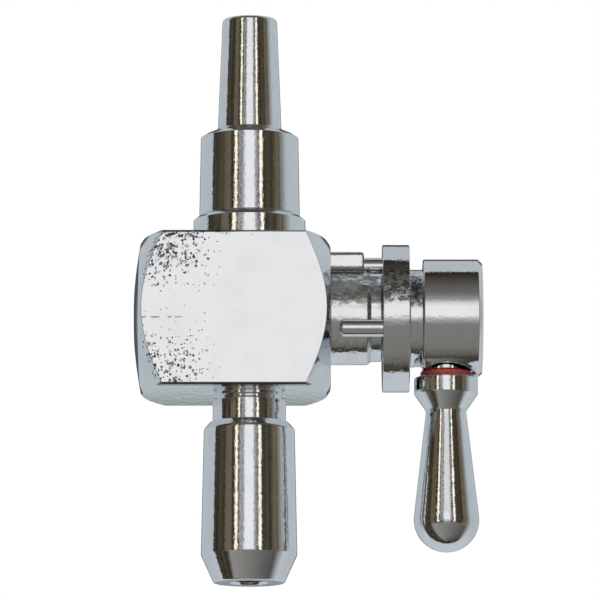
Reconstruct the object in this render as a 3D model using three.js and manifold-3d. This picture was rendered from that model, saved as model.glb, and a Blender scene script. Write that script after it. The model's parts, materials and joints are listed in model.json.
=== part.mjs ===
// In-line beverage tap: a square bar body with a tapered hose spigot above, a bullet-shaped nozzle
// below, and a quarter-turn ball worked by a finger lever on the right.
//
// Millimetres, +Z up along the flow, +X along the spindle towards the lever, -Y towards the user.
// The pieces are laid out round the point where the flow axis and the spindle axis cross, and the
// whole assembly then hangs below the origin, which is the centre of the spigot's top end.
import * as THREE from "three";
import { mergeVertices } from "three/addons/utils/BufferGeometryUtils.js";
import Module from "manifold-3d";

const wasm = await Module();
wasm.setup();

// ---- Driving dimensions ----
const GAP = 0.3; // left between pieces that touch
const COARSE = 32; // sides of the outer round pieces
const FINE = 20; // sides of the small and inner round pieces

// The flow path, along Z.
const FLOW_R = 3.5;
const MOUTH_R = 3.2;
const BALL_R = 7.0;
const PORT_R = 8.0; // the block's vertical bore
const SHANK_R = PORT_R - GAP; // what screws into it
const SEAT_LOW = 4.5; // the seats' inner faces, above and below the spindle
const SEAT_HIGH = 8.0;

// The body block.
const BLOCK_HALF = 14.75; // 30 mm bar, finished all over
const BLOCK_LEFT = -21.85;
const BLOCK_RIGHT = 15.4;
const END_FLAT_R = 13.7; // flat part of the turned right end
const CHAMFER_SLOPE = 0.69; // length of the end chamfers along X for each mm of radius
const DOME_FLAT_R = 7.5; // flat part of the turned left end
const DOME_R = 14.2;
const DOME_DROP = 1.25;

// The inlet, upwards.
const COLLAR_R = 10.63;
const COLLAR_TOP = 18.55;
const INLET_R = 9.55; // the union sleeve at its foot
const INLET_TOP_R = 9.3;
const INLET_Z = 19.5;
const SHOULDER_Z = 34.75;
const SLEEVE_TOP = 36.4;
const SPIGOT_FOOT_R = 6.07;
const SPIGOT_TIP_R = 5.32;
const SPIGOT_TOP = 57.85;
const STUB_R = 7.0; // threaded stub inside the union sleeve
const STUB_TOP = 26.3;
const TAIL_FLANGE_TOP = 30.6;

// The outlet, downwards.
const NECK_R = 6.93;
const NECK_LENGTH = 4.95;
const NOZZLE_TOP = -(BLOCK_HALF + NECK_LENGTH);
const NOZZLE_TOP_R = 7.35;
const NOZZLE_R = 8.6;
const NOZZLE_LOW_R = 9.1;
const NOZZLE_SHOULDER_Z = -45.1;
const NOZZLE_END_R = 6.7;
const NOZZLE_END_Z = -50.4;
const OUTLET_STUB_R = 5.8;
const OUTLET_STUB_Z = -30.0;

// The spindle, along X.
const BONNET_R = 8.8;
const BONNET_TIP_R = 8.2;
const BONNET_SHOULDER_X = 22.3;
const FLANGE_X = 25.1;
const FLANGE_R = 14.0;
const FLANGE_THICK = 5.2;
const HUB_NECK_R = 9.27;
const HUB_X = 32.9;
const HUB_R = 11.24;
const HUB_END_X = 44.1;
const HUB_CHAMFER = 0.8;
const STEM_R = 3.0;
const STEM_END_X = 40.0;
const FOOT_X = 9.0; // inner face of the stem's foot flange
const FOOT_END_X = 10.4;
const FOOT_R = 4.8;
const BONNET_SHANK_R = 6.2;
const BONNET_SHANK_X = 9.0;
const COUNTERBORE_R = 5.2;
const COUNTERBORE_X = 12.0;
const TANG_X = 4.6;
const TANG_THICK = 2.4;
const TANG_END_X = 7.8;
const SLOT_WIDTH = TANG_THICK + 2 * GAP;

// The quarter-turn stop: a fixed lug on the bonnet, between two pins carried by the flange.
// Angles are about the spindle, from the user's side (-Y) up towards +Z.
const LUG_ANGLE = 88;
const LUG_R = 12.75;
const LUG_WIDTH = 2.2;
const LUG_END_X = 21.75;
const PIN_RING_R = 10.8;
const PIN_R = 1.65;
const PIN_TIP_X = 17.1;
const PIN_SOCKET_X = 28.8;
const TRAVEL = 90;
const STOP_ANGLE = THREE.MathUtils.radToDeg((PIN_R + LUG_WIDTH / 2 + GAP) / PIN_RING_R);
const REAR_PIN_ANGLE = LUG_ANGLE + STOP_ANGLE;
const FRONT_PIN_ANGLE = LUG_ANGLE - STOP_ANGLE - TRAVEL;

// The lever, hanging below the hub.
const LEVER_X = 37.25;
const SEATING_Z = -10.25; // flat spot-faced in the hub
const SEATING_R = 6.35;
const WASHER_R = 5.3;
const WASHER_THICK = 0.8;
const LEVER_TOP = SEATING_Z - WASHER_THICK - 2 * GAP;
const LEVER_COLLAR_R = 6.03;
const LEVER_COLLAR_Z = -14.5;
const LEVER_WAIST_R = 3.85;
const LEVER_WAIST_Z = -17.6;
const LEVER_END_R = 6.17;
const LEVER_BALL_Z = -38.4; // centre of the round end
const STUD_R = 2.0;
const STUD_TIP_Z = -2.1;
const STUD_FOOT_Z = -22.0;

// Seals. An O-ring has a section radius, and sits in the middle of its groove.
const GASKET_THICK = 1.0;
const ADAPTER_RING_Z = 11.2;
const BONNET_RING_X = 13.2;
const STEM_RINGS_X = [15.0, 19.5];
const RING_SECTION = 0.6;
const GROOVE_DEPTH = 2 * RING_SECTION + GAP;
const GROOVE_HALF = RING_SECTION + GAP;

// ---- Turning, joining and cutting ----

// A solid of revolution about +Z. The profile is a list of [radius, z], upwards on the outside.
function turned(profile, sides = COARSE) {
  const points = profile.map(([r, z]) => new THREE.Vector2(r, z));
  return new THREE.LatheGeometry(points, sides).rotateX(Math.PI / 2);
}

// The same about +X, with a profile of [radius, x].
function turnedAlongX(profile, sides = COARSE) {
  return turned(profile, sides).rotateY(Math.PI / 2);
}

// A hollow solid of revolution: the profile closes on itself.
function closed(profile) {
  return [...profile, profile[0]];
}

function washer(innerR, outerR, low, high) {
  return closed([
    [innerR, low],
    [outerR, low],
    [outerR, high],
    [innerR, high],
  ]);
}

function rod(radius, low, high, sides = FINE) {
  return turned([[0, low], [radius, low], [radius, high], [0, high]], sides);
}

// Points on an arc about (centreR, centreZ), in a profile's plane, from one angle to another.
function arc(centreR, centreZ, radius, fromDegrees, toDegrees, steps) {
  return Array.from({ length: steps + 1 }, (_, i) => {
    const angle = THREE.MathUtils.degToRad(fromDegrees + ((toDegrees - fromDegrees) * i) / steps);
    return [centreR + radius * Math.cos(angle), centreZ + radius * Math.sin(angle)];
  });
}

function toSolid(geometry) {
  const bare = geometry.clone();
  bare.deleteAttribute("normal");
  bare.deleteAttribute("uv");
  const merged = mergeVertices(bare, 1e-4);
  return new wasm.Manifold(
    new wasm.Mesh({
      numProp: 3,
      vertProperties: new Float32Array(merged.attributes.position.array),
      triVerts: new Uint32Array(merged.index.array),
    }),
  );
}

function toGeometry(solid) {
  const mesh = solid.getMesh();
  const geometry = new THREE.BufferGeometry();
  geometry.setAttribute("position", new THREE.BufferAttribute(mesh.vertProperties, 3));
  geometry.setIndex(new THREE.BufferAttribute(mesh.triVerts, 1));
  geometry.computeVertexNormals();
  return geometry;
}

function cut(geometry, ...tools) {
  const solid = tools.reduce((left, tool) => left.subtract(toSolid(tool)), toSolid(geometry));
  return toGeometry(solid);
}

function join(geometry, ...others) {
  return toGeometry(others.reduce((sum, other) => sum.add(toSolid(other)), toSolid(geometry)));
}

function common(geometry, other) {
  return toGeometry(toSolid(geometry).intersect(toSolid(other)));
}

function block(low, high) {
  const size = high.map((value, i) => value - low[i]);
  const centre = high.map((value, i) => (value + low[i]) / 2);
  return new THREE.BoxGeometry(...size).translate(...centre);
}

// Where a stop pin's axis lies, at an angle about the spindle.
function pinCentre(angle) {
  const turn = THREE.MathUtils.degToRad(angle);
  return [0, -PIN_RING_R * Math.cos(turn), PIN_RING_R * Math.sin(turn)];
}

// A rod along X at an angle about the spindle.
function axialRod(radius, fromX, toX, angle) {
  return rod(radius, fromX, toX)
    .rotateY(Math.PI / 2)
    .translate(...pinCentre(angle));
}

// ---- Fixed pieces ----

function bodyBlock() {
  const bar = block([BLOCK_LEFT, -BLOCK_HALF, -BLOCK_HALF], [BLOCK_RIGHT, BLOCK_HALF, BLOCK_HALF]);
  const corner = BLOCK_HALF * Math.SQRT2 + 1;
  const rightX = BLOCK_RIGHT - CHAMFER_SLOPE * (corner - END_FLAT_R);
  const leftX = BLOCK_LEFT + DOME_DROP + CHAMFER_SLOPE * (corner - DOME_R);
  const ends = turnedAlongX([
    [0, BLOCK_LEFT],
    [DOME_FLAT_R, BLOCK_LEFT],
    [(DOME_FLAT_R + DOME_R) / 2, BLOCK_LEFT + DOME_DROP * 0.3],
    [DOME_R, BLOCK_LEFT + DOME_DROP],
    [corner, leftX],
    [corner, rightX],
    [END_FLAT_R, BLOCK_RIGHT],
    [0, BLOCK_RIGHT],
  ]);
  const port = rod(PORT_R, -BLOCK_HALF - 1, BLOCK_HALF + 1, COARSE);
  const bonnetHole = rod(BONNET_SHANK_R + GAP, BONNET_SHANK_X - GAP, BLOCK_RIGHT + 1);
  const stemHole = rod(STEM_R + 2 * GAP, 0, BLOCK_RIGHT);
  const spindleHoles = join(bonnetHole, stemHole).rotateY(Math.PI / 2);
  return cut(common(bar, ends), port, spindleHoles);
}

// An O-ring groove in the profile of a shank.
function groove(shankR, ringZ) {
  return [
    [shankR, ringZ - GROOVE_HALF],
    [shankR - GROOVE_DEPTH, ringZ - GROOVE_HALF],
    [shankR - GROOVE_DEPTH, ringZ + GROOVE_HALF],
    [shankR, ringZ + GROOVE_HALF],
  ];
}

function inletAdapter() {
  const collarFoot = BLOCK_HALF + GAP;
  return turned(
    closed([
      [FLOW_R, SEAT_HIGH + GAP],
      [SHANK_R, SEAT_HIGH + GAP],
      ...groove(SHANK_R, ADAPTER_RING_Z),
      [SHANK_R, collarFoot],
      [COLLAR_R, collarFoot],
      [COLLAR_R, COLLAR_TOP],
      [INLET_R, INLET_Z - GAP / 2],
      [STUB_R, INLET_Z - GAP / 2],
      [STUB_R, STUB_TOP],
      [FLOW_R, STUB_TOP],
    ]),
  );
}

function inletUnionSleeve() {
  return turned(
    closed([
      [STUB_R + GAP, INLET_Z + GAP / 2],
      [INLET_R, INLET_Z + GAP / 2],
      [INLET_TOP_R, SHOULDER_Z],
      [INLET_TOP_R - 1.1, SHOULDER_Z + 0.65],
      [INLET_TOP_R - 2.7, SHOULDER_Z + 1.35],
      [SPIGOT_FOOT_R + GAP, SLEEVE_TOP],
      [SPIGOT_FOOT_R + GAP, TAIL_FLANGE_TOP + GAP],
      [STUB_R + GAP, TAIL_FLANGE_TOP + GAP],
    ]),
  );
}

function inletSpigot() {
  const gasketTop = STUB_TOP + GASKET_THICK + 2 * GAP;
  const tipRound = 0.7;
  return turned(
    closed([
      [FLOW_R, gasketTop],
      [STUB_R, gasketTop],
      [STUB_R, TAIL_FLANGE_TOP],
      [SPIGOT_FOOT_R, TAIL_FLANGE_TOP],
      [SPIGOT_FOOT_R, SLEEVE_TOP],
      ...arc(SPIGOT_TIP_R - tipRound, SPIGOT_TOP - tipRound, tipRound, 0, 90, 3),
      [FLOW_R, SPIGOT_TOP],
    ]),
  );
}

function outletAdapter() {
  const neckTop = -(BLOCK_HALF + GAP);
  return turned(
    closed([
      [FLOW_R, OUTLET_STUB_Z],
      [OUTLET_STUB_R, OUTLET_STUB_Z],
      [OUTLET_STUB_R, NOZZLE_TOP],
      [NECK_R, NOZZLE_TOP],
      [NECK_R, neckTop],
      [SHANK_R, neckTop],
      ...groove(SHANK_R, -ADAPTER_RING_Z),
      [SHANK_R, -(SEAT_HIGH + GAP)],
      [FLOW_R, -(SEAT_HIGH + GAP)],
    ]),
  );
}

function outletNozzle() {
  const socketEnd = OUTLET_STUB_Z - GASKET_THICK - 2 * GAP;
  const socketR = OUTLET_STUB_R + GAP;
  const rim = 0.4;
  return turned(
    closed([
      [MOUTH_R, NOZZLE_END_Z],
      [NOZZLE_END_R - rim, NOZZLE_END_Z],
      [NOZZLE_END_R, NOZZLE_END_Z + rim],
      [NOZZLE_LOW_R, NOZZLE_SHOULDER_Z],
      [NOZZLE_R, NOZZLE_TOP - 1.3],
      [NOZZLE_TOP_R, NOZZLE_TOP - GAP],
      [socketR, NOZZLE_TOP - GAP],
      [socketR, socketEnd],
      [MOUTH_R, socketEnd],
    ]),
  );
}

function bonnetSleeve() {
  const boreR = STEM_R + GAP;
  const lip = FLANGE_X - GAP;
  const shoulder = BLOCK_RIGHT + GAP;
  const barrel = turnedAlongX(
    closed([
      [COUNTERBORE_R, BONNET_SHANK_X],
      [BONNET_SHANK_R, BONNET_SHANK_X],
      ...groove(BONNET_SHANK_R, BONNET_RING_X),
      [BONNET_SHANK_R, shoulder],
      [BONNET_R, shoulder],
      [BONNET_R, BONNET_SHOULDER_X],
      [BONNET_TIP_R, BONNET_SHOULDER_X + 0.7],
      [BONNET_TIP_R, lip],
      [boreR, lip],
      [boreR, COUNTERBORE_X],
      [COUNTERBORE_R, COUNTERBORE_X],
    ]),
  );
  const root = BONNET_R - 1;
  const outline = new THREE.Shape([
    new THREE.Vector2(shoulder, root),
    new THREE.Vector2(LUG_END_X + 0.5, root),
    new THREE.Vector2(LUG_END_X, LUG_R - 0.6),
    new THREE.Vector2(LUG_END_X - 0.6, LUG_R),
    new THREE.Vector2(shoulder, LUG_R),
  ]);
  const lug = new THREE.ExtrudeGeometry(outline, { depth: LUG_WIDTH, bevelEnabled: false })
    .translate(0, 0, -LUG_WIDTH / 2)
    .rotateX(THREE.MathUtils.degToRad(180 - LUG_ANGLE));
  return join(barrel, lug);
}

function seat(direction) {
  const rise = (r) => Math.sqrt((BALL_R + GAP) ** 2 - r ** 2);
  const rimR = Math.sqrt((BALL_R + GAP) ** 2 - SEAT_LOW ** 2);
  const steps = 3;
  const dish = Array.from({ length: steps + 1 }, (_, i) => {
    const r = FLOW_R + ((rimR - FLOW_R) * i) / steps;
    return [r, rise(r)];
  });
  const ring = turned(
    closed([...dish, [SHANK_R, SEAT_LOW], [SHANK_R, SEAT_HIGH], [FLOW_R, SEAT_HIGH]]),
    FINE + 4,
  );
  return direction > 0 ? ring : ring.rotateX(Math.PI);
}

// ---- Pieces that turn with the lever ----

function ball() {
  const sphere = new THREE.SphereGeometry(BALL_R, 24, 14);
  const bore = rod(FLOW_R, -BALL_R - 1, BALL_R + 1);
  const slot = block(
    [TANG_X - GAP, -BALL_R, -SLOT_WIDTH / 2],
    [BALL_R + 1, BALL_R, SLOT_WIDTH / 2],
  );
  return cut(sphere, bore, slot);
}

function stem() {
  const shaft = turnedAlongX(
    [
      [0, TANG_X],
      [STEM_R, TANG_X],
      [STEM_R, FOOT_X],
      [FOOT_R, FOOT_X],
      [FOOT_R, FOOT_END_X],
      [STEM_R, FOOT_END_X],
      ...STEM_RINGS_X.flatMap((x) => groove(STEM_R, x)),
      [STEM_R, STEM_END_X],
      [0, STEM_END_X],
    ],
    FINE,
  );
  const flats = [-1, 1].map((side) => {
    const inner = (side * TANG_THICK) / 2;
    const outer = side * (STEM_R + 1);
    return block(
      [TANG_X - 1, -STEM_R - 1, Math.min(inner, outer)],
      [TANG_END_X, STEM_R + 1, Math.max(inner, outer)],
    );
  });
  const dimple = rod(STUD_R + GAP, -STEM_R - 1, STUD_TIP_Z + GAP).translate(LEVER_X, 0, 0);
  return cut(shaft, ...flats, dimple);
}

function handleHub() {
  const boreR = STEM_R + GAP;
  const flangeEnd = FLANGE_X + FLANGE_THICK;
  const profile = turnedAlongX([
    [0, STEM_END_X + GAP],
    [boreR, STEM_END_X + GAP],
    [boreR, FLANGE_X],
    [BONNET_TIP_R, FLANGE_X],
    [FLANGE_R, FLANGE_X + 0.1],
    [FLANGE_R, flangeEnd],
    [HUB_NECK_R, flangeEnd],
    [HUB_NECK_R, HUB_X],
    [HUB_R - 0.25, HUB_X],
    [HUB_R, HUB_X + 0.25],
    [HUB_R, HUB_END_X - HUB_CHAMFER],
    [HUB_R - HUB_CHAMFER, HUB_END_X],
    [0, HUB_END_X],
  ]);
  const spotFace = rod(SEATING_R, -FLANGE_R, SEATING_Z).translate(LEVER_X, 0, 0);
  const studHole = rod(STUD_R + GAP, -FLANGE_R, 0).translate(LEVER_X, 0, 0);
  const sockets = [FRONT_PIN_ANGLE, REAR_PIN_ANGLE].map((angle) =>
    axialRod(PIN_R + GAP, FLANGE_X - 1, PIN_SOCKET_X, angle),
  );
  return cut(profile, spotFace, studHole, ...sockets);
}

function stopPin() {
  const tip = 0.5;
  return turnedAlongX(
    [
      [0, PIN_TIP_X],
      [PIN_R - tip, PIN_TIP_X],
      [PIN_R, PIN_TIP_X + tip],
      [PIN_R, PIN_SOCKET_X - GAP],
      [0, PIN_SOCKET_X - GAP],
    ],
    FINE,
  );
}

function leverHandle() {
  const holeR = STUD_R + GAP;
  const holeEnd = STUD_FOOT_Z - GAP;
  return turned([
    ...arc(0, LEVER_BALL_Z, LEVER_END_R, -90, 0, 6),
    [5.5, -32.6],
    [4.5, -23.4],
    [LEVER_WAIST_R, LEVER_WAIST_Z - 1.2],
    [LEVER_WAIST_R, LEVER_WAIST_Z],
    [LEVER_COLLAR_R, LEVER_COLLAR_Z],
    [LEVER_COLLAR_R, LEVER_TOP - 0.3],
    [LEVER_COLLAR_R - 0.3, LEVER_TOP],
    [holeR, LEVER_TOP],
    [holeR, holeEnd],
    [0, holeEnd],
  ]);
}

// ---- The assembly ----

function material(color, roughness, metalness) {
  return () => new THREE.MeshStandardMaterial({ color, roughness, metalness });
}

const chrome = material(0xc9ced2, 0.08, 1);
const steel = material(0x9a9c9e, 0.3, 1);
const ptfe = material(0xe8e6de, 0.6, 0);
const rubber = material(0x1c1c1c, 0.8, 0);
const redFibre = material(0xa8402a, 0.7, 0);

const layout = new THREE.Group();
layout.position.z = -SPIGOT_TOP;

function place(name, geometry, finish, position = [0, 0, 0]) {
  const mesh = new THREE.Mesh(geometry, finish());
  mesh.name = name;
  mesh.position.set(...position);
  layout.add(mesh);
  return mesh;
}

// An O-ring seated in the groove of a shank of the given radius, its axis along Z or X.
function placeRing(name, shankR, position, alongX) {
  const middleR = shankR - RING_SECTION;
  const ring = new THREE.TorusGeometry(middleR, RING_SECTION, 6, FINE);
  const mesh = place(name, ring, rubber, position);
  mesh.rotation.y = alongX ? Math.PI / 2 : 0;
}

place("body_block", bodyBlock(), chrome);
place("inlet_adapter", inletAdapter(), chrome);
place("inlet_union_sleeve", inletUnionSleeve(), chrome);
place("inlet_spigot", inletSpigot(), chrome);
place("outlet_adapter", outletAdapter(), chrome);
place("outlet_nozzle", outletNozzle(), chrome);
place("bonnet_sleeve", bonnetSleeve(), chrome);
place("upper_seat", seat(1), ptfe);
place("lower_seat", seat(-1), ptfe);
placeRing("inlet_adapter_o_ring", SHANK_R, [0, 0, ADAPTER_RING_Z], false);
placeRing("outlet_adapter_o_ring", SHANK_R, [0, 0, -ADAPTER_RING_Z], false);
placeRing("bonnet_o_ring", BONNET_SHANK_R, [BONNET_RING_X, 0, 0], true);

const gasketLow = STUB_TOP + GAP;
place("inlet_gasket", turned(washer(FLOW_R, STUB_R, gasketLow, gasketLow + GASKET_THICK), FINE), ptfe);
const gasketHigh = OUTLET_STUB_Z - GAP;
place(
  "nozzle_gasket",
  turned(washer(FLOW_R, OUTLET_STUB_R, gasketHigh - GASKET_THICK, gasketHigh), FINE),
  ptfe,
);
place(
  "thrust_washer",
  turnedAlongX(washer(STEM_R + GAP, FOOT_R, FOOT_END_X + GAP, COUNTERBORE_X - GAP), FINE),
  ptfe,
);

place("ball", ball(), chrome);
place("stem", stem(), steel);
placeRing("stem_o_ring_inner", STEM_R, [STEM_RINGS_X[0], 0, 0], true);
placeRing("stem_o_ring_outer", STEM_R, [STEM_RINGS_X[1], 0, 0], true);
place("handle_hub", handleHub(), chrome);
for (const [name, angle] of [
  ["stop_pin_front", FRONT_PIN_ANGLE],
  ["stop_pin_rear", REAR_PIN_ANGLE],
]) {
  place(name, stopPin(), chrome, pinCentre(angle));
}

place(
  "lever_washer",
  turned(washer(STUD_R + GAP, WASHER_R, SEATING_Z - GAP - WASHER_THICK, SEATING_Z - GAP)),
  redFibre,
  [LEVER_X, 0, 0],
);
place("lever_handle", leverHandle(), chrome, [LEVER_X, 0, 0]);
place("lever_stud", rod(STUD_R, STUD_FOOT_Z, STUD_TIP_Z), steel, [LEVER_X, 0, 0]);

const tap = new THREE.Group();
tap.add(layout);

export default tap;
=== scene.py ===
"""Looks for an in-line beverage tap: bright chrome over turned brass, in a plain soft studio.

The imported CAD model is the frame. Each piece that shows, and the ball, is built again here at fine
resolution from an outline with rounded corners, and takes the CAD node's place; the sealed inner
pieces keep their CAD shape and get a material.

Outlines are in millimetres, measured from the point where the flow axis (Z) crosses the spindle
axis (X). The object's own frame has its origin at the top of the spigot. Sizes inside materials are
in metres unless they are compared with x, y or z, which are millimetres from the same point.
"""
import json
import math

import bpy
from mathutils import Matrix, Vector


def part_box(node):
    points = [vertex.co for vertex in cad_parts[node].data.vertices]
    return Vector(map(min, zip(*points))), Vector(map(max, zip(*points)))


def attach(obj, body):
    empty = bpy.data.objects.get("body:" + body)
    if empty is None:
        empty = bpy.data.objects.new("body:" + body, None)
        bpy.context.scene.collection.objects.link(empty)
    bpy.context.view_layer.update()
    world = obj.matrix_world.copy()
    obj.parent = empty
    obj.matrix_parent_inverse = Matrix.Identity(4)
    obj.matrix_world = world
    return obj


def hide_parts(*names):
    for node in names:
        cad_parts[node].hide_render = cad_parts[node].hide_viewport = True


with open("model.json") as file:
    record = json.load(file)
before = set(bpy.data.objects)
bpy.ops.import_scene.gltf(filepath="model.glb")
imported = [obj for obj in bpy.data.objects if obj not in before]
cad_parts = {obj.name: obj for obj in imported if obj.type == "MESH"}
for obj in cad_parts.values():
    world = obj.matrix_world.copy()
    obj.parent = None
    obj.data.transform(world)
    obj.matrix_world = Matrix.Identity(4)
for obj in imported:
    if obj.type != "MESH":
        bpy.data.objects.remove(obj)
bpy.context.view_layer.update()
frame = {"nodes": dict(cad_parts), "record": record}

MM = 0.001
SIDES = 160
PIN_SIDES = 64
CORNER_STEPS = 5
SHARP_ANGLE = 32  # degrees: a sharper corner isn't smoothed
FIXED = "tap_body"
TURNING = "lever_spindle"
PINS = ("stop_pin_front", "stop_pin_rear")


# ---- Sizes read off the frame, in millimetres from the spindle ----

hub_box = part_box("handle_hub")
SPINDLE = Vector((0, 0, (hub_box[0].z + hub_box[1].z) / 2 / MM))


def box_mm(node):
    low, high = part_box(node)
    return low / MM - SPINDLE, high / MM - SPINDLE


block_low, block_high = box_mm("body_block")
adapter_low, adapter_high = box_mm("inlet_adapter")
sleeve_low, sleeve_high = box_mm("inlet_union_sleeve")
spigot_low, spigot_high = box_mm("inlet_spigot")
outlet_low, outlet_high = box_mm("outlet_adapter")
nozzle_low, nozzle_high = box_mm("outlet_nozzle")
bonnet_low, bonnet_high = box_mm("bonnet_sleeve")
hub_low, hub_high = box_mm("handle_hub")
pin_low, pin_high = box_mm("stop_pin_front")
lever_low, lever_high = box_mm("lever_handle")
washer_low, _ = box_mm("lever_washer")
ball_low, ball_high = box_mm("ball")

HALF_BAR = block_high.y
BALL_R = (ball_high.y - ball_low.y) / 2
FLANGE_X = hub_low.x
LEVER_X = (lever_low.x + lever_high.x) / 2


# ---- Sizes shared by pieces that fit each other, in millimetres ----

FIT = 0.3  # the gap of a shank, stub or stem in its hole
CLOSE_FIT = 0.05
PRESS_FIT = 0.04
FLOW_R = 3.5
MOUTH_R = 3.2
SHANK_R = 7.7  # both adapters' shanks in the block
RING_Z = 11.2  # the O-rings on those shanks, above and below the spindle
INLET_STUB_R = 7.0
SPIGOT_FLANGE_TOP = 30.6
SPIGOT_FOOT_R = 6.07
OUTLET_STUB_R = 5.8
NECK_R = 6.93
BLOCK_LIP = 2.2  # how much of the block's lower edge closes round the neck
BONNET_SHANK_R = 6.2
STEM_R = 3.0
PIN_R = 1.65
NECK_END_X = 32.9  # where the hub widens from its neck
SEAT_BOSS_R = 5.0  # the round boss under the hub, and its face that the lever seats on
SEAT_Z = -10.15
STUD_R = 2.0
STUD_HOLE_R = STUD_R + 0.1
BEYOND = 30.0  # a cutter's end, outside every piece it cuts


# ---- Outlines ----

NEARLY_STRAIGHT = math.radians(89.5)
SHARE_OF_SIDE = 0.48  # the most of a side that one round may take


def corner_arc(before, corner, after, radius):
    """Points of a round of this radius, tangent to both sides of a corner."""
    into = (before - corner).normalized()
    out = (after - corner).normalized()
    half = into.angle(out) / 2
    if radius <= 0 or half > NEARLY_STRAIGHT:
        return [corner]
    room = SHARE_OF_SIDE * min((before - corner).length, (after - corner).length)
    tangent = min(radius / math.tan(half), room)
    fitted = tangent * math.tan(half)
    centre = corner + (into + out).normalized() * (fitted / math.sin(half))
    start = corner + into * tangent - centre
    end = corner + out * tangent - centre
    turn = start.angle_signed(end)
    arc = []
    for step in range(CORNER_STEPS + 1):
        angle = -turn * step / CORNER_STEPS
        arc.append(centre + Matrix.Rotation(angle, 2) @ start)
    return arc


def rounded(outline, loop):
    """(radius, position, round) corners as points, each corner rounded as it says."""
    points = [Vector(corner[:2]) for corner in outline]
    rounds = [corner[2] if len(corner) > 2 else 0 for corner in outline]
    count = len(points)
    result = []
    for i, point in enumerate(points):
        if not loop and i in (0, count - 1):
            result.append(point)
            continue
        before = points[i - 1]
        after = points[(i + 1) % count]
        result += corner_arc(before, point, after, rounds[i])
    return result


def arc(centre, radius, start, end, steps):
    """Plain outline points on an arc about a point on the axis, angles in degrees from outwards."""
    points = []
    for step in range(steps + 1):
        angle = math.radians(start + (end - start) * step / steps)
        points.append((radius * math.cos(angle), centre + radius * math.sin(angle)))
    return points


def groove(shank_r, middle, depth=1.5, half=0.9):
    """A square groove in an outline, by default for an O-ring."""
    floor_r = shank_r - depth
    return [
        (shank_r, middle - half, 0.1),
        (floor_r, middle - half, 0.2),
        (floor_r, middle + half, 0.2),
        (shank_r, middle + half, 0.1),
    ]


# ---- Meshes ----

def mesh_object(name, vertices, faces):
    """An object with a smooth-shaded mesh, from vertices in millimetres about the spindle."""
    mesh = bpy.data.meshes.new(name)
    mesh.from_pydata([(Vector(v) + SPINDLE) * MM for v in vertices], [], faces)
    mesh.polygons.foreach_set("use_smooth", [True] * len(mesh.polygons))
    piece = bpy.data.objects.new(name, mesh)
    bpy.context.scene.collection.objects.link(piece)
    return piece


def strip(lower, upper):
    """Faces between two rings; either ring may be a single point."""
    count = max(len(lower), len(upper))
    faces = []
    for side in range(count):
        after = (side + 1) % count
        corners = [
            lower[side % len(lower)],
            lower[after % len(lower)],
            upper[after % len(upper)],
            upper[side % len(upper)],
        ]
        faces.append(list(dict.fromkeys(corners)))
    return faces


def turned(name, outline, axis="Z", centre=(0, 0, 0), loop=True, sides=SIDES):
    """A solid of revolution. A loop outline makes a ring; an open one starts and ends on the axis."""
    vertices = []
    rings = []
    for radius, height in rounded(outline, loop):
        on_axis = radius < 1e-6
        ring = []
        for side in range(1 if on_axis else sides):
            angle = 2 * math.pi * side / sides
            across = (radius * math.cos(angle), radius * math.sin(angle))
            place = (*across, height) if axis == "Z" else (height, *across)
            ring.append(len(vertices))
            vertices.append(Vector(place) + Vector(centre))
        rings.append(ring)
    faces = []
    for i in range(len(rings) if loop else len(rings) - 1):
        faces += strip(rings[i], rings[(i + 1) % len(rings)])
    return mesh_object(name, vertices, faces)


def cylinder(radius, low, high, axis="Z", centre=(0, 0, 0)):
    """A plain cylinder to cut with."""
    return turned("cutter", [(0, low), (radius, low), (radius, high), (0, high)], axis, centre, False)


def prism(sections):
    """A solid through equal-sized sections, capped at both ends."""
    size = len(sections[0])
    vertices = [point for section in sections for point in section]
    rings = [list(range(i * size, (i + 1) * size)) for i in range(len(sections))]
    faces = [rings[0][::-1], rings[-1]]
    for lower, upper in zip(rings, rings[1:]):
        faces += strip(lower, upper)
    return mesh_object("prism", vertices, faces)


def baked(piece):
    """Replaces a piece's mesh with what its modifiers make of it."""
    graph = bpy.context.evaluated_depsgraph_get()
    mesh = bpy.data.meshes.new_from_object(piece.evaluated_get(graph))
    piece.modifiers.clear()
    piece.data = mesh
    return piece


def combined(piece, others, operation):
    """A boolean of the piece with each of the others, which are used up."""
    for other in others:
        step = piece.modifiers.new("boolean", "BOOLEAN")
        step.operation = operation
        step.solver = "EXACT"
        step.object = other
    baked(piece)
    for other in others:
        bpy.data.objects.remove(other)
    return piece


def welded(piece):
    """Joins vertices that lie on each other, such as a pole's."""
    step = piece.modifiers.new("weld", "WELD")
    step.merge_threshold = 1e-7
    return baked(piece)


def shaded(piece):
    """Flat faces stay flat and rounds stay round: sharp corners split, the rest weighted by area."""
    piece.data.set_sharp_from_angle(angle=math.radians(SHARP_ANGLE))
    step = piece.modifiers.new("normals", "WEIGHTED_NORMAL")
    step.keep_sharp = True
    step.weight = 90
    return baked(piece)


# ---- Node trees ----

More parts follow.
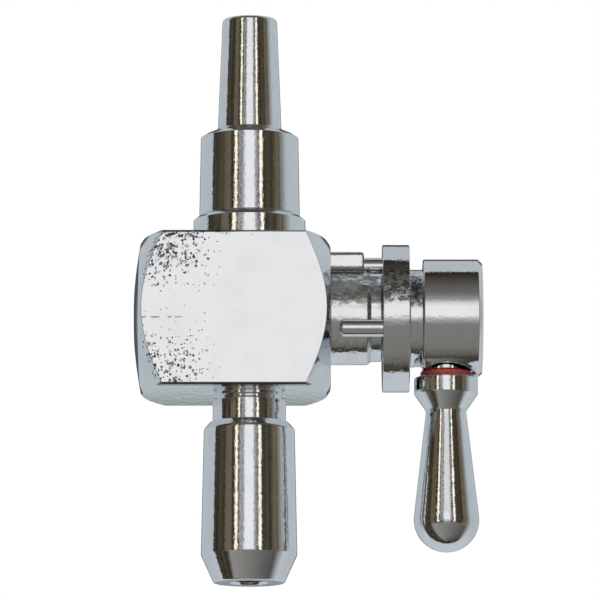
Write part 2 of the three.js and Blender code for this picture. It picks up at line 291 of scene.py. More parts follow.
class Nodes:
    """Short calls for building a node tree."""

    def __init__(self, tree):
        self.tree = tree
        tree.nodes.clear()

    def add(self, kind, inputs=None, **settings):
        node = self.tree.nodes.new(kind)
        for name, value in settings.items():
            setattr(node, name, value)
        for name, value in (inputs or {}).items():
            self.feed(node.inputs[name], value)
        return node

    def feed(self, socket, value):
        if isinstance(value, bpy.types.NodeSocket):
            self.tree.links.new(value, socket)
        else:
            socket.default_value = value

    def math(self, operation, *values):
        node = self.add("ShaderNodeMath", operation=operation)
        for socket, value in zip(node.inputs, values):
            self.feed(socket, value)
        return node.outputs[0]

    def product(self, first, *others):
        for other in others:
            first = self.math("MULTIPLY", first, other)
        return first

    def most(self, first, second):
        return self.math("MAXIMUM", first, second)

    def spread(self, value, low, high, to_low=0.0, to_high=1.0, soft=True):
        """Maps low..high to to_low..to_high, clamped, with soft ends."""
        node = self.add(
            "ShaderNodeMapRange",
            {"Value": value, "From Min": low, "From Max": high, "To Min": to_low, "To Max": to_high},
            interpolation_type="SMOOTHSTEP" if soft else "LINEAR",
        )
        return node.outputs["Result"]

    def window(self, value, low, high, edge):
        """1 between two values and 0 outside them, over edges this wide."""
        rise = self.spread(value, low - edge / 2, low + edge / 2)
        fall = self.spread(value, high + edge / 2, high - edge / 2)
        return self.product(rise, fall)

    def noise(self, place, size, detail=2.0):
        """Noise whose features are about size across, in the units of the place."""
        node = self.add("ShaderNodeTexNoise", {"Vector": place, "Scale": 1 / size, "Detail": detail})
        return node.outputs["Fac"]

    def mix(self, share, first, second, blend="MIX"):
        node = self.add("ShaderNodeMix", data_type="RGBA", blend_type=blend)
        self.feed(node.inputs["Factor"], share)
        self.feed(node.inputs["A"], first)
        self.feed(node.inputs["B"], second)
        return node.outputs["Result"]

    def bump(self, height, depth, below=None):
        """A bump of this depth in metres, over another one."""
        inputs = {"Height": height, "Distance": depth, "Strength": 1.0}
        if below is not None:
            inputs["Normal"] = below
        return self.add("ShaderNodeBump", inputs).outputs["Normal"]

    def here(self):
        """Where a point is, as a vector in metres."""
        return self.add("ShaderNodeTexCoord").outputs["Object"]

    def split(self, vector):
        outputs = self.add("ShaderNodeSeparateXYZ", {"Vector": vector}).outputs
        return [outputs[axis] for axis in "XYZ"]

    def places(self):
        """Where a point is: the vector, and x, y and z in millimetres about the spindle."""
        place = self.here()
        x, y, z = (self.math("DIVIDE", part, MM) for part in self.split(place))
        return place, x, y, self.math("SUBTRACT", z, SPINDLE.z)

    def surface(self, inputs):
        shader = self.add("ShaderNodeBsdfPrincipled", inputs)
        self.add("ShaderNodeOutputMaterial", {"Surface": shader.outputs[0]})


def new_material(name):
    material = bpy.data.materials.new(name)
    material.use_nodes = True
    return material, Nodes(material.node_tree)


# ---- Chrome ----

CHROME = (0.79, 0.81, 0.83, 1)
DULL_CHROME = (0.75, 0.775, 0.795, 1)
# Dark inside pits, and also the painted shade: the bar's dark edge lines and the flange's dark band.
PIT_AND_SHADE_COLOUR = (0.05, 0.06, 0.065, 1)
BRIGHT = 0.05  # the roughness of well polished plate
WAVE_SIZE = 0.006
WAVE_DEPTH = 0.000014
GRAIN_SIZE = 0.0005
GRAIN_DEPTH = 0.000016
LINE_SIZE = 0.35  # millimetres, because turning lines are noise along x or z
LINE_DEPTH = 0.0000015
PIT_SPACING = 0.00055
PIT_SIZE = 0.68  # the largest pit's radius, in spacings
PIT_RAGGED = 0.4  # how far its edge strays
PIT_EDGE = 0.15  # how wide its edge is


def polished(nodes, place, waves, grain):
    """Slow polishing waves under a fine grain, as a normal."""
    normal = nodes.bump(nodes.noise(place, WAVE_SIZE), WAVE_DEPTH * waves)
    return nodes.bump(nodes.noise(place, GRAIN_SIZE), GRAIN_DEPTH * grain, normal)


def turning_lines(nodes, along, normal):
    """Very fine rings left by the tool, along the axis the piece was turned on."""
    line = nodes.add("ShaderNodeCombineXYZ", {"X": along}).outputs[0]
    return nodes.bump(nodes.noise(line, LINE_SIZE, 3.0), LINE_DEPTH, normal)


def finish_chrome(nodes, place, normal, polish, pits_and_painted_shade=0.0):
    """Plate over the given bumps, a little hazier in places, and dark inside its pits and where shade is
    painted.
    """
    haze = nodes.noise(place, 0.004, 3.0)
    roughness = nodes.product(nodes.spread(haze, 0.35, 0.7, 0.6, 1.6), polish)
    tint = nodes.mix(nodes.spread(haze, 0.4, 0.75), CHROME, DULL_CHROME)
    # Darkened in the pits, and where shade is painted along the bar's edges and in the flange's band.
    tint = nodes.mix(pits_and_painted_shade, tint, PIT_AND_SHADE_COLOUR)
    nodes.surface({"Base Color": tint, "Metallic": 1.0, "Roughness": roughness, "Normal": normal})


def pits(nodes, place, worn):
    """1 inside scattered ragged pits, which are more and larger where worn is near 1."""
    cells = nodes.add("ShaderNodeTexVoronoi", {"Vector": place, "Scale": 1 / PIT_SPACING}).outputs
    random = nodes.add("ShaderNodeSeparateColor", {"Color": cells["Color"]}).outputs
    spare = nodes.math("SUBTRACT", worn, random["Red"])
    size = nodes.spread(spare, 0.0, 0.6, 0.0, PIT_SIZE, soft=False)
    rough = nodes.noise(place, 0.0004, 3.0)
    ragged = nodes.spread(rough, 0.25, 0.75, -PIT_RAGGED, PIT_RAGGED, soft=False)
    distance = nodes.math("ADD", cells["Distance"], ragged)
    edge = nodes.math("SUBTRACT", size, PIT_EDGE)
    inside = nodes.spread(distance, edge, size, 1.0, 0.0, soft=False)
    shade = nodes.spread(random["Green"], 0.0, 0.5, 0.3, 1.0)
    return nodes.product(inside, shade, nodes.spread(size, 0.04, 0.12))


def turned_chrome(name, axis, polish=BRIGHT, waves=1.0, grain=1.0):
    """Bright plate over a surface turned about X or Z."""
    material, nodes = new_material(name)
    place, x, _, z = nodes.places()
    normal = polished(nodes, place, waves, grain)
    normal = turning_lines(nodes, x if axis == "X" else z, normal)
    finish_chrome(nodes, place, normal, polish)
    return material


def hub_chrome():
    """Bright plate on the hub, over a coarser skin on the flange and the neck, with pits and dark stains
    in a band above the spindle: partly wear, partly painted shade where that band mirrors the dark
    ceiling.
    """
    material, nodes = new_material("chrome_flange_and_hub")
    place, x, _, z = nodes.places()
    normal = turning_lines(nodes, x, polished(nodes, place, 1.0, 1.0))
    coarse = nodes.spread(x, NECK_END_X - 0.6, NECK_END_X, 1.0, 0.12)
    normal = nodes.bump(nodes.product(nodes.noise(place, 0.0012, 3.0), coarse), 0.00004, normal)
    on_flange = nodes.spread(x, NECK_END_X, NECK_END_X - 0.6)
    # The band above the spindle where the flange and neck mirror the dark ceiling; it is darkened
    # further with painted shade.
    upper = nodes.product(nodes.window(z, 1.2, 8.0, 2.0), on_flange)
    patches = nodes.spread(nodes.noise(place, 0.004), 0.35, 0.65, 0.2, 0.8)
    # Dark patches: partly stains, partly painted shade that deepens the band's mirrored dark ceiling.
    stains_and_painted_shade = nodes.spread(nodes.noise(place, 0.0012), 0.38, 0.62, 0.1, 0.75)
    pits_and_painted_shade = nodes.most(pits(nodes, place, nodes.product(upper, patches)), nodes.product(upper, stains_and_painted_shade))
    finish_chrome(nodes, place, nodes.bump(pits_and_painted_shade, -0.0001, normal), BRIGHT, pits_and_painted_shade)
    return material


def sleeve_chrome():
    """Satin plate over the bonnet's rough turning, roughest above the spindle."""
    material, nodes = new_material("chrome_over_rough_turning")
    place, x, _, z = nodes.places()
    normal = turning_lines(nodes, x, polished(nodes, place, 1.5, 1.5))
    rough = nodes.window(z, 1.7, 8.2, 2.0)
    skin = nodes.product(nodes.noise(place, 0.0013, 3.0), nodes.spread(rough, 0, 1, 0.5, 2.0))
    normal = nodes.bump(skin, 0.00016, normal)
    blotches = nodes.spread(nodes.noise(place, 0.002, 3.0), 0.35, 0.6, 0.15, 0.75)
    finish_chrome(nodes, place, normal, nodes.most(nodes.product(rough, blotches), 0.06))
    return material


def worn_front(nodes, place, x, z):
    """How worn the bar's front is: most towards its left corners and along its upper edge."""
    leftness = nodes.spread(x, 1.0, -15.0)
    corners = nodes.spread(nodes.math("ABSOLUTE", z), 1.0, HALF_BAR - 4.0, 0.25, 1.0)
    above = nodes.spread(z, -4.0, 6.0, 0.8, 1.0)
    by_upper_edge = nodes.spread(z, HALF_BAR - 2.6, HALF_BAR - 0.4)
    along_top = nodes.product(by_upper_edge, nodes.spread(x, 4.0, -7.0))
    worn = nodes.most(nodes.product(leftness, corners, above), along_top)
    patchy = nodes.spread(nodes.noise(place, 0.005), 0.3, 0.6, 0.7, 1.0)
    return nodes.product(worn, patchy)


def painted_dark_edges(nodes, x, z):
    """Painted shade: dark lines along the front's lower edge and the left of its upper edge, where the
    rounded edges mirror the dark room.
    """
    edge = nodes.spread(nodes.math("ABSOLUTE", z), HALF_BAR - 0.6, HALF_BAR - 0.35, 0.0, 0.9)
    dark_edge_reach = nodes.most(nodes.spread(x, 0.0, -6.0), nodes.spread(z, 0.0, -1.0))
    return nodes.product(edge, dark_edge_reach)


def broken_scratch(nodes, place, x, z):
    """A fine broken scratch from the bar's left end, a little below the spindle."""
    off_line = nodes.math("ABSOLUTE", nodes.math("ADD", z, 1.95))
    line = nodes.spread(off_line, 0.14, 0.02)
    broken = nodes.spread(nodes.noise(place, 0.0012, 1.0), 0.42, 0.55)
    reach = nodes.spread(x, -8.0, -18.0)
    return nodes.product(line, broken, reach)


def bar_chrome():
    """Plate on the bar: flat bright faces, a milled underside, a front with pits at its left, and
    painted dark lines along the front's edges.
    """
    material, nodes = new_material("chrome_polished_bar")
    place, x, y, z = nodes.places()
    normal = polished(nodes, place, 0.5, 0.25)
    under = nodes.spread(z, -HALF_BAR + 0.9, -HALF_BAR + 0.2)
    normal = nodes.bump(nodes.product(nodes.noise(place, 0.0012, 3.0), under), 0.00005, normal)

    front = nodes.spread(y, -HALF_BAR + 3.0, -HALF_BAR + 1.0)
    pits_and_painted_shade = pits(nodes, place, nodes.product(worn_front(nodes, place, x, z), front))
    # Painted shade: dark lines along the front's edges, where they mirror the dark room.
    pits_and_painted_shade = nodes.most(pits_and_painted_shade, nodes.product(painted_dark_edges(nodes, x, z), front))
    normal = nodes.bump(pits_and_painted_shade, -0.00004, normal)
    scratch = nodes.product(broken_scratch(nodes, place, x, z), front)
    finish_chrome(nodes, place, nodes.bump(scratch, -0.00005, normal), BRIGHT, pits_and_painted_shade)
    return material


# ---- Other materials ----

def steel():
    """Turned stainless steel: a fine grain and a soft sheen."""
    material, nodes = new_material("turned_steel")
    place = nodes.here()
    grain = nodes.noise(place, 0.0004)
    colour = nodes.mix(grain, (0.56, 0.56, 0.57, 1), (0.66, 0.66, 0.67, 1))
    normal = nodes.bump(grain, 0.000004)
    nodes.surface({"Base Color": colour, "Metallic": 1.0, "Roughness": 0.32, "Normal": normal})
    return material


def ptfe():
    """Machined white plastic, slightly waxy."""
    material, nodes = new_material("machined_ptfe")
    place = nodes.here()
    mottle = nodes.noise(place, 0.0015, 3.0)
    colour = nodes.mix(mottle, (0.82, 0.81, 0.77, 1), (0.9, 0.89, 0.86, 1))
    wax = {"Subsurface Weight": 0.1, "Subsurface Scale": 0.001}
    normal = nodes.bump(mottle, 0.00002)
    nodes.surface({"Base Color": colour, "Roughness": 0.5, "Normal": normal, **wax})
    return material


def rubber():
    """Moulded black rubber."""
    material, nodes = new_material("moulded_rubber")
    place = nodes.here()
    bloom = nodes.noise(place, 0.0008, 4.0)
    colour = nodes.mix(bloom, (0.02, 0.02, 0.02, 1), (0.05, 0.05, 0.048, 1))
    normal = nodes.bump(bloom, 0.00002)
    nodes.surface({"Base Color": colour, "Roughness": 0.62, "Normal": normal})
    return material


def red_fibre():
    """Pressed red fibre: darker fibres lying flat, and a dull sheen."""
    material, nodes = new_material("red_fibre")
    place = nodes.here()
    flat = nodes.add("ShaderNodeMapping", {"Vector": place, "Scale": (1.0, 1.0, 6.0)}).outputs["Vector"]
    fibres = nodes.noise(flat, 0.0006, 5.0)
    share = nodes.spread(fibres, 0.35, 0.7)
    colour = nodes.mix(share, (0.38, 0.025, 0.035, 1), (0.72, 0.12, 0.085, 1))
    normal = nodes.bump(fibres, 0.00005)
    nodes.surface({"Base Color": colour, "Roughness": 0.36, "Normal": normal})
    return material


# ---- The block ----

FACE_CROWN = 0.1
BAR_CORNER_R = 0.45
DOME_FLAT_R = 4.0  # the flat in the middle of the domed left end
DOME_R = 14.2
DOME_DROP = 1.25
END_FLAT_R = 13.7  # the flat right end
END_ROUND = 1.6
END_SLOPE = 0.69  # how fast both ends fall away towards the bar's corners
BAR_EDGE_ROUND = 0.18


def bar_section(flat_steps=24, corner_steps=6):
    """Points round the bar, in (y, z): crowned faces and rounded corners."""
    inner = HALF_BAR - FACE_CROWN - BAR_CORNER_R
    points = []
    for quarter in range(4):
        turn = Matrix.Rotation(math.pi / 2 * quarter, 2)
        for step in range(flat_steps):
            across = -inner + 2 * inner * step / flat_steps
            drop = FACE_CROWN * (across / inner) ** 2
            points.append(turn @ Vector((HALF_BAR - drop, across)))
        for step in range(corner_steps):
            angle = math.pi / 2 * step / corner_steps
            round_point = Vector((math.cos(angle), math.sin(angle))) * BAR_CORNER_R
            points.append(turn @ (Vector((inner, inner)) + round_point))
    return points


def block_meridian(reach, dome_steps=8):
    """(radius, x) points from the left end's middle, out to the bar's surface, to the right end."""
    left, right = block_low.x, block_high.x
    dome = []
    for step in range(dome_steps + 1):
        share = step / dome_steps
        dome.append((DOME_FLAT_R + (DOME_R - DOME_FLAT_R) * share, left + DOME_DROP * share ** 1.5))
    return rounded(
        [
            (0, left),
            *dome,
            (reach, left + DOME_DROP + END_SLOPE * (reach - DOME_R), BAR_EDGE_ROUND),
            (reach, right - END_SLOPE * (reach - END_FLAT_R), BAR_EDGE_ROUND),
            (END_FLAT_R, right, END_ROUND),
            (0, right),
        ],
        False,
    )


def body_block():
    """Square bar with both ends turned about the spindle axis, drilled for its fittings."""
    vertices = []
    rings = []
    for point in bar_section():
        reach = point.length
        line = []
        for radius, x in block_meridian(reach):
            line.append(len(vertices))
            across = point * (radius / reach)
            vertices.append((x, across.x, across.y))
        rings.append(line)
    faces = []
    for i, line in enumerate(rings):
        beside = rings[(i + 1) % len(rings)]
        for j in range(len(line) - 1):
            faces.append([line[j], beside[j], beside[j + 1], line[j + 1]])
    piece = welded(mesh_object("body_block_chrome", vertices, faces))
    top, right = HALF_BAR + 1, block_high.x
    cutters = [
        cylinder(SHANK_R + FIT, -HALF_BAR + BLOCK_LIP, top),
        cylinder(NECK_R + PRESS_FIT, -top, HALF_BAR),
        cylinder(BONNET_SHANK_R + FIT, bonnet_low.x - FIT, right + 1, "X"),
        cylinder(STEM_R + 0.6, 0, right, "X"),
    ]
    return shaded(combined(piece, cutters, "DIFFERENCE"))


# ---- Fittings above and below ----

def inlet_adapter():
    """Collar on the block, with its shank inside and the stub that the sleeve screws onto."""
    foot = block_high.z + 0.03
    top = sleeve_low.z - 0.12
    collar_r = adapter_high.x
    return turned(
        "inlet_adapter_chrome",
        [
            (FLOW_R, adapter_low.z, 0.2),
            (SHANK_R, adapter_low.z, 0.4),
            *groove(SHANK_R, RING_Z),
            (SHANK_R, foot, 0.1),
            (collar_r, foot, 0.4),
            (collar_r, top - 0.8, 0.2),
            (sleeve_high.x + 0.05, top, 0.12),
            (INLET_STUB_R, top, 0.1),
            (INLET_STUB_R, adapter_high.z, 0.5),
            (FLOW_R, adapter_high.z, 0.2),
        ],
    )


def inlet_union_sleeve():
    """Round sleeve with a domed shoulder, closing on the spigot."""
    foot = sleeve_low.z - 0.08
    foot_r = sleeve_high.x
    top_r = foot_r - 0.27
    shoulder = sleeve_high.z - 1.65
    bore_r = INLET_STUB_R + FIT
    bore_top = SPIGOT_FLANGE_TOP + FIT
    hole_r = SPIGOT_FOOT_R + CLOSE_FIT
    return turned(
        "inlet_union_sleeve_chrome",
        [
            (bore_r, foot, 0.2),
            (foot_r, foot, 0.25),
            (top_r, shoulder, 0.12),
            (top_r - 1.08, shoulder + 0.65, 1.2),
            (top_r - 2.68, shoulder + 1.35, 2.5),
            (hole_r, sleeve_high.z + 0.05, 0.05),
            (hole_r, bore_top, 0.1),
            (bore_r, bore_top, 0.1),
        ],
    )


def inlet_spigot():
    """Tapered hose spigot with the flange that the sleeve holds."""
    tip_r = 5.2
    top = spigot_high.z
    return turned(
        "inlet_spigot_chrome",
        [
            (FLOW_R, spigot_low.z, 0.2),
            (INLET_STUB_R, spigot_low.z, 0.3),
            (INLET_STUB_R, SPIGOT_FLANGE_TOP, 0.2),
            (SPIGOT_FOOT_R, SPIGOT_FLANGE_TOP, 0.1),
            (SPIGOT_FOOT_R, sleeve_high.z, 0.5),
            (tip_r, top, 0.75),
            (FLOW_R + 0.35, top, 0.1),
            (FLOW_R, top - 0.35, 0.1),
        ],
    )


def outlet_adapter():
    """Neck under the block, with its shank inside and the stub that holds the nozzle."""
    neck_top = block_low.z + BLOCK_LIP + CLOSE_FIT
    neck_foot = nozzle_high.z + 0.15
    return turned(
        "outlet_adapter_chrome",
        [
            (FLOW_R, outlet_low.z, 0.2),
            (OUTLET_STUB_R, outlet_low.z, 0.4),
            (OUTLET_STUB_R, neck_foot, 0.05),
            (NECK_R, neck_foot, 0.12),
            *groove(NECK_R, block_low.z - 0.72, 0.7, 0.4),
            (NECK_R, neck_top, 0.05),
            (SHANK_R, neck_top, 0.05),
            *groove(SHANK_R, -RING_Z),
            (SHANK_R, outlet_high.z, 0.4),
            (FLOW_R, outlet_high.z, 0.2),
        ],
    )


def outlet_nozzle():
    """Bullet-shaped nozzle, a little wider downwards, with a flat end and a chamfered mouth."""
    end = nozzle_low.z
    wide_r = nozzle_high.x
    top = nozzle_high.z + 0.13
    bore_r = OUTLET_STUB_R + FIT
    bore_foot = -31.6
    return turned(
        "outlet_nozzle_chrome",
        [
            (MOUTH_R, end + 0.45, 0.1),
            (MOUTH_R + 0.45, end, 0.12),
            (wide_r - 2.4, end, 0.4),
            (wide_r, end + 5.3, 0.5),
            (wide_r - 0.5, top - 1.4, 0.8),
            (7.35, top, 0.2),
            (bore_r, top, 0.2),
            (bore_r, bore_foot, 0.2),
            (MOUTH_R, bore_foot, 0.1),
        ],
    )


# ---- The bonnet ----

LUG_WIDTH = 2.2
LUG_END = 21.75
LUG_LEAN = 2  # degrees from upright, towards the front


def stop_lug(lug_r, root_r, start):
    """The bonnet's stop lug, with a filleted root and bevelled end, as a solid to join on."""
    half = LUG_WIDTH / 2
    top_round, fillet = 0.9, 2.0
    flank = [(half, lug_r, top_round), (half, root_r + 0.35, fillet), (half + 3.2, root_r - 1.6)]
    mirrored = [(-y, z, *extra) for y, z, *extra in reversed(flank)]
    section = rounded(mirrored + flank, False)
    middle = Vector((0, (lug_r + root_r) / 2))
    slices = [(start, 1.0), (LUG_END - 0.5, 1.0), (LUG_END - 0.15, 0.93), (LUG_END, 0.8)]
    turn = Matrix.Rotation(math.radians(LUG_LEAN), 3, "X")
    sections = []
    for x, scale in slices:
        outline = [middle + (point - middle) * scale for point in section]
        sections.append([turn @ Vector((x, -p.x, p.y)) for p in outline])
    return prism(sections)


def bonnet_sleeve():
    """Sleeve between the block and the flange, with its shank, bore and one stop lug."""
    shoulder = block_high.x + 0.02
    lip = FLANGE_X - 0.1
    body_r = 8.8
    tip_r = 8.2
    pocket_r, pocket_end = 5.2, 12.0
    bore_r = STEM_R + FIT
    piece = turned(
        "bonnet_sleeve_chrome",
        [
            (pocket_r, bonnet_low.x, 0.2),
            (BONNET_SHANK_R, bonnet_low.x, 0.3),
            *groove(BONNET_SHANK_R, 13.2),
            (BONNET_SHANK_R, shoulder, 0.05),
            (body_r, shoulder, 0.1),
            (body_r, 22.3, 0.25),
            (tip_r, 23.0, 0.25),
            (tip_r, lip, 0.15),
            (bore_r, lip, 0.2),
            (bore_r, pocket_end, 0.1),
            (pocket_r, pocket_end, 0.2),
        ],
        "X",
    )
    lug = stop_lug(bonnet_high.z, body_r, shoulder)
    return shaded(combined(piece, [lug], "UNION"))


# ---- Pieces that turn with the lever ----

def pin_centre(node):
    low, high = box_mm(node)
    return Vector((0, (low.y + high.y) / 2, (low.z + high.z) / 2))


def hub_cutters():
    """Cutters for the hub: the lever's ringed seat, the stud's hole and the pins' sockets."""
    under_lever = (LEVER_X, 0, 0)
    ring_r, ring_top = 6.35, -8.9
    ring = [(SEAT_BOSS_R, -BEYOND), (ring_r, -BEYOND), (ring_r, ring_top), (SEAT_BOSS_R, ring_top)]
    cutters = [
        cylinder(SEAT_BOSS_R + 0.2, -BEYOND, SEAT_Z, centre=under_lever),
        turned("cutter", ring, centre=under_lever),
        cylinder(STUD_HOLE_R, -BEYOND, 0, centre=under_lever),
    ]
    socket_end = 28.8
    for node in PINS:
        cutters.append(cylinder(PIN_R + PRESS_FIT, FLANGE_X - 1, socket_end, "X", pin_centre(node)))
    return cutters


def handle_hub():
    """Flange, neck and hub in one, with a round seat for the lever and sockets for the pins."""
    flange_end = FLANGE_X + 5.2
    flange_r = hub_high.y
    neck_r = 9.27
    hub_r = 11.24
    bore_r, bore_end = STEM_R + CLOSE_FIT, 40.3
    piece = turned(
        "handle_hub_chrome",
        [
            (0, bore_end),
            (bore_r, bore_end, 0.1),
            (bore_r, FLANGE_X, 0.15),
            (8.2, FLANGE_X, 0.3),
            (flange_r, FLANGE_X + 0.1, 0.2),
            (flange_r, flange_end, 0.2),
            (neck_r, flange_end, 0.25),
            (neck_r, NECK_END_X, 0.25),
            (hub_r, NECK_END_X, 0.3),
            (hub_r, hub_high.x - 0.8, 0.15),
            (hub_r - 0.8, hub_high.x, 0.2),
            (0, hub_high.x),
        ],
        "X",
        loop=False,
    )
    return shaded(combined(piece, hub_cutters(), "DIFFERENCE"))


def stop_pin(node):
    """Round pin with a bevelled tip."""
    tip, foot = pin_low.x, pin_high.x
    return turned(
        node + "_chrome",
        [(0, tip), (PIN_R - 0.5, tip, 0.1), (PIN_R, tip + 0.5, 0.15), (PIN_R, foot, 0.1), (0, foot)],
        "X",
        pin_centre(node),
        loop=False,
        sides=PIN_SIDES,
    )


def lever_handle():
    """Pear-shaped finger lever: a collar, a narrow waist, and a cone that runs into a ball end."""
    ball_r = (lever_high.x - lever_low.x) / 2
    ball_z = lever_low.z + ball_r
    waist_r, waist_z = 3.85, -17.6
    collar_r, collar_z = 6.03, -14.5
    top = lever_high.z + 0.25
    hole_end = -22.3
    taper = math.degrees(math.asin((ball_r - waist_r) / (waist_z - ball_z)))
    return turned(
        "lever_handle_chrome",
        [
            *arc(ball_z, ball_r, -90, taper, 28),
            (waist_r, waist_z - 0.6, 2.5),
            (waist_r + 0.05, waist_z, 1.2),
            (collar_r, collar_z, 0.5),
            (collar_r, top, 0.35),
            (STUD_HOLE_R, top, 0.2),
            (STUD_HOLE_R, hole_end, 0.1),
            (0, hole_end),
        ],
        centre=(LEVER_X, 0, 0),
        loop=False,
    )


def lever_washer():
    """Thin fibre washer, its edge a little crushed."""
    low, high = washer_low.z - 0.02, SEAT_Z - 0.03
    inner, outer = STUD_R + 0.2, SEAT_BOSS_R - 0.15
    return turned(
        "lever_washer_fibre",
        [(inner, low, 0.1), (outer, low, 0.3), (outer, high, 0.3), (inner, high, 0.1)],
        centre=(LEVER_X, 0, 0),
    )


def ball():
    """The bored ball with the slot that the stem's tang turns."""
    reach = math.degrees(math.acos(FLOW_R / BALL_R))
    piece = turned("ball_chrome", arc(0, BALL_R, -reach, reach, 48))
    half_length, half_width = 8, 1.5
    floor_x, open_x = 4.3, 8.0
    across = [(-half_length, -half_width), (half_length, -half_width)]
    across += [(half_length, half_width), (-half_length, half_width)]
    slot = prism([[(x, y, z) for y, z in across] for x in (floor_x, open_x)])
    return shaded(combined(piece, [slot], "DIFFERENCE"))


# ---- Putting them together ----

def stand_in(piece, node, body, material):
    """Puts a detailed piece in a CAD node's place."""
    piece.data.materials.clear()
    piece.data.materials.append(material)
    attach(piece, body)
    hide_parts(node)


bright_z = turned_chrome("chrome_turned_on_flow_axis", "Z")
bright_x = turned_chrome("chrome_turned_on_spindle", "X", polish=0.12, waves=1.5)
lever_chrome = turned_chrome("chrome_buffed_lever", "Z", waves=1.2)

stand_in(body_block(), "body_block", FIXED, bar_chrome())
stand_in(shaded(inlet_adapter()), "inlet_adapter", FIXED, bright_z)
stand_in(shaded(inlet_union_sleeve()), "inlet_union_sleeve", FIXED, bright_z)
stand_in(shaded(inlet_spigot()), "inlet_spigot", FIXED, bright_z)
stand_in(shaded(outlet_adapter()), "outlet_adapter", FIXED, bright_z)
stand_in(shaded(outlet_nozzle()), "outlet_nozzle", FIXED, bright_z)
stand_in(bonnet_sleeve(), "bonnet_sleeve", FIXED, sleeve_chrome())
stand_in(handle_hub(), "handle_hub", TURNING, hub_chrome())
for pin in PINS:
    stand_in(shaded(stop_pin(pin)), pin, TURNING, bright_x)
stand_in(shaded(lever_handle()), "lever_handle", TURNING, lever_chrome)
stand_in(shaded(lever_washer()), "lever_washer", TURNING, red_fibre())
stand_in(ball(), "ball", TURNING, bright_z)

# No piece left as CAD is chrome or red fibre, so these three finishes cover them all.
inner_finishes = {"steel": steel(), "ptfe": ptfe(), "rubber": rubber()}
for subpart in frame["record"]["subparts"]:
    finish = inner_finishes.get(subpart["material_slot"])
    if finish:
        inner = frame["nodes"][subpart["node"]].data.materials
        inner.clear()
        inner.append(finish)


# ---- Camera, floor and lamp ----

def camera():
    """A long lens looking slightly up at the front, as the object was seen."""
    distance = 1.1
    rise = math.radians(-9.1)
    aim = (SPINDLE + Vector((9.6, 0, 3.6))) * MM
    data = bpy.data.cameras.new("camera")
    data.lens = 347.6
    view = bpy.data.objects.new("camera", data)
    bpy.context.scene.collection.objects.link(view)
    view.location = aim + Vector((0, -math.cos(rise), math.sin(rise))) * distance
    view.rotation_euler = (math.pi / 2 - rise, 0, 0)
    bpy.context.scene.camera = view


def floor():
    """Plain pale floor, well below the hanging tap and lit but not reflected."""
    size, height = 6.0, -0.35
    corners = [(-size, -size), (size, -size), (size, size), (-size, size)]
    mesh = bpy.data.meshes.new("floor")
    mesh.from_pydata([(x, y, height) for x, y in corners], [], [(0, 1, 2, 3)])
    sheet = bpy.data.objects.new("floor", mesh)
    bpy.context.scene.collection.objects.link(sheet)
    material, nodes = new_material("pale_floor")
    mottle = nodes.noise(nodes.here(), 0.4)
    colour = nodes.mix(mottle, (0.86, 0.86, 0.86, 1), (0.9, 0.9, 0.9, 1))
    nodes.surface({"Base Color": colour, "Roughness": 0.9, "Specular IOR Level": 0.1})
    mesh.materials.append(material)
    sheet.visible_glossy = False


def overhead_light():
    """A broad soft light from above for the floor and the dull pieces; the chrome mirrors the room."""
    data = bpy.data.lights.new("overhead", "AREA")
    data.shape = "SQUARE"
    data.size = 1.6
    data.energy = 25
    lamp = bpy.data.objects.new("overhead", data)
    lamp.location = (0, -0.3, 1.4)
    lamp.visible_glossy = False
    lamp.visible_camera = False
    bpy.context.scene.collection.objects.link(lamp)


# ---- The room that the chrome reflects: angles in degrees, azimuth from the front ----

# What stands in front of the tap, straight ahead, as (elevation, light): a table, a softbox with
# its glow, and a dark ceiling.
AHEAD = [
    (-90, (0.1, 0.09, 0.07)),
    (-80, (0.17, 0.16, 0.14)),
    (-65, (0.23, 0.225, 0.205)),
    (-20, (0.245, 0.24, 0.225)),
    (-14, (0.36, 0.36, 0.35)),
    (-10, (0.47, 0.47, 0.46)),
    (-6, (0.68, 0.68, 0.67)),
    (-3, (1.0, 0.975, 0.97)),
    (16, (1.0, 0.975, 0.97)),
    (18, (0.9, 0.88, 0.87)),
    (23, (0.76, 0.76, 0.75)),
    (29, (0.36, 0.36, 0.35)),
    (42, (0.17, 0.17, 0.16)),
    (55, (0.13, 0.125, 0.11)),
    (70, (0.09, 0.078, 0.06)),
    (84, (0.042, 0.038, 0.03)),
    (90, (0.03, 0.028, 0.024)),
]
DARK = (0.03, 0.025, 0.018, 1)
DIM = (0.1, 0.083, 0.057, 1)
PANEL = (0.17, 0.14, 0.095, 1)
GLOW = (0.6, 0.63, 0.67, 1)
GLOW_GAP = (0.08, 0.085, 0.095, 1)
BACK = (0.53, 0.575, 0.6, 1)
BACK_LOW = (0.61, 0.65, 0.68, 1)
BACK_FAR = (0.07, 0.09, 0.1, 1)
RIM = (0.02, 0.02, 0.02, 1)

# Upright panels at the sides: from one azimuth to the other, over an edge.
PANELS = [(-60, -43, 5), (60, 90, 8)]

# Lit tubes beside the softbox: azimuth, half width, and colour.
TUBES = [(-31.4, 3.3, (1.35, 1.2, 0.88, 1)), (27.0, 3.4, (1.35, 1.25, 1.04, 1))]
TUBE_EDGE = 3.5


def patch(nodes, angles, sides, ends):
    """1 in a patch of the room, whose sides and ends are (from, to, edge)."""
    azimuth, elevation = angles
    return nodes.product(nodes.window(azimuth, *sides), nodes.window(elevation, *ends))


def ahead_ramp(nodes, elevation):
    """The light straight ahead, by elevation."""
    node = nodes.add("ShaderNodeValToRGB")
    nodes.feed(node.inputs["Fac"], nodes.spread(elevation, -90, 90, soft=False))
    stops = node.color_ramp.elements
    while len(stops) < len(AHEAD):
        stops.new(0.5)
    for stop, (angle, light) in zip(stops, AHEAD):
        stop.position = (angle + 90) / 180
        stop.color = (*light, 1)
    return node.outputs["Color"]


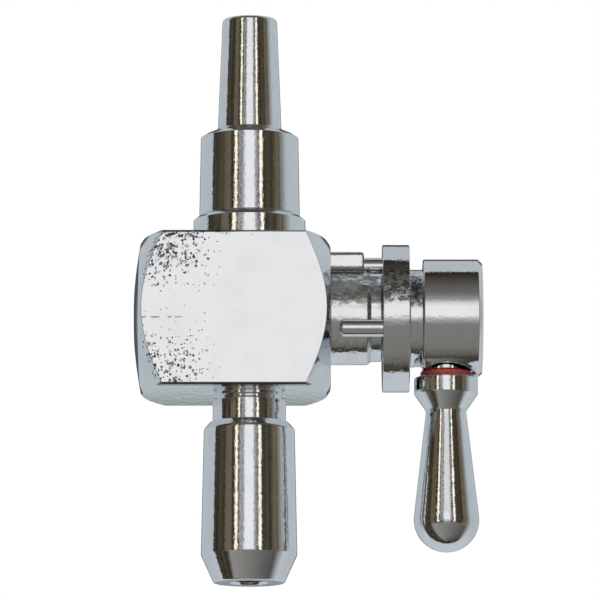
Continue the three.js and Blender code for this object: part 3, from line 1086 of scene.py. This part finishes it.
def dim_walls(nodes, direction, angles):
    """A dark cluttered room with an upright panel at each side."""
    clutter = nodes.noise(direction, 0.08, 5.0)
    colour = nodes.mix(nodes.spread(clutter, 0.36, 0.66), DARK, DIM)
    for sides in PANELS:
        share = patch(nodes, angles, sides, (-30, 50, 20))
        share = nodes.product(share, nodes.spread(clutter, 0.3, 0.6, 0.4, 1.0))
        colour = nodes.mix(share, colour, PANEL)
    return colour


def softbox_and_table(nodes, direction, angles, colour):
    """The softbox with its speckled glow, the table below it and the ceiling above."""
    azimuth, elevation = angles
    fine = nodes.noise(direction, 0.03, 4.0)
    speckled = nodes.mix(nodes.spread(fine, 0.4, 0.6), GLOW_GAP, GLOW)
    colour = nodes.mix(patch(nodes, angles, (-24, 20, 7), (-8, 26, 10)), colour, speckled)

    table = patch(nodes, angles, (-57, 79, 12), (-100, -16, 10))
    ahead = ahead_ramp(nodes, elevation)
    across_table = nodes.spread(azimuth, -45, 75, 1.3, 0.4, soft=False)
    lit_table = nodes.mix(1.0, ahead, across_table, "MULTIPLY")
    lit = nodes.mix(table, ahead, lit_table)
    straight = nodes.most(nodes.window(azimuth, -11.5, 12.5, 5), table)
    straight = nodes.most(straight, nodes.spread(elevation, 30, 60))
    return nodes.mix(straight, colour, lit)


def lit_tubes(nodes, angles, colour):
    """A lit tube at each side of the softbox."""
    for middle, half_width, light in TUBES:
        sides = (middle - half_width, middle + half_width, TUBE_EDGE)
        colour = nodes.mix(patch(nodes, angles, sides, (-12, 26, 5)), colour, light)
    return colour


def sweep_behind(nodes, direction, elevation, colour):
    """The pale sweep behind: it starts sharply on the left, above and below, and slowly on the right."""
    x, y, z = nodes.split(direction)
    downness = nodes.most(nodes.product(z, -1.0), 0.0)
    depth = nodes.math("SUBTRACT", y, nodes.product(downness, 0.09))
    rightness = nodes.spread(x, 0.35, 0.9)
    rim = nodes.product(nodes.spread(depth, -0.05, 0.06), nodes.math("SUBTRACT", 1.0, rightness))
    colour = nodes.mix(nodes.product(rim, 0.75), colour, RIM)

    back = nodes.mix(nodes.spread(elevation, -12, -35), BACK, BACK_LOW)
    far = nodes.spread(nodes.math("ABSOLUTE", x), 0.38, 0.24)
    far = nodes.product(far, nodes.window(elevation, -6.5, 36, 5))
    back = nodes.mix(far, back, BACK_FAR)
    start = nodes.math("SUBTRACT", 0.07, nodes.product(rightness, 0.41))
    end = nodes.math("ADD", 0.115, nodes.product(rightness, 0.055))
    return nodes.mix(nodes.spread(depth, start, end), colour, back)


def show_room(nodes, colour):
    """The room for mirrors, and a white backdrop for the camera and most of the dull surfaces' light."""
    reflected = nodes.add("ShaderNodeBackground", {"Color": colour})
    backdrop = nodes.add("ShaderNodeBackground", {"Color": (1, 1, 1, 1)})
    path = nodes.add("ShaderNodeLightPath").outputs
    seen = nodes.most(path["Is Camera Ray"], nodes.product(path["Is Diffuse Ray"], 0.7))
    both = nodes.add("ShaderNodeMixShader")
    nodes.feed(both.inputs[0], seen)
    nodes.feed(both.inputs[1], reflected.outputs[0])
    nodes.feed(both.inputs[2], backdrop.outputs[0])
    nodes.add("ShaderNodeOutputWorld", {"Surface": both.outputs[0]})


def room():
    """The world, painted by direction: what is in front of the tap, and the sweep behind it."""
    world = bpy.data.worlds.new("room")
    world.use_nodes = True
    bpy.context.scene.world = world
    nodes = Nodes(world.node_tree)
    direction = nodes.add("ShaderNodeTexCoord").outputs["Generated"]
    x, y, z = nodes.split(direction)
    azimuth = nodes.math("DEGREES", nodes.math("ARCTAN2", x, nodes.product(y, -1.0)))
    elevation = nodes.math("DEGREES", nodes.math("ARCSINE", z))
    angles = (azimuth, elevation)
    colour = dim_walls(nodes, direction, angles)
    colour = softbox_and_table(nodes, direction, angles, colour)
    colour = lit_tubes(nodes, angles, colour)
    show_room(nodes, sweep_behind(nodes, direction, elevation, colour))


camera()
floor()
overhead_light()
room()
bpy.context.scene.view_settings.view_transform = "Standard"
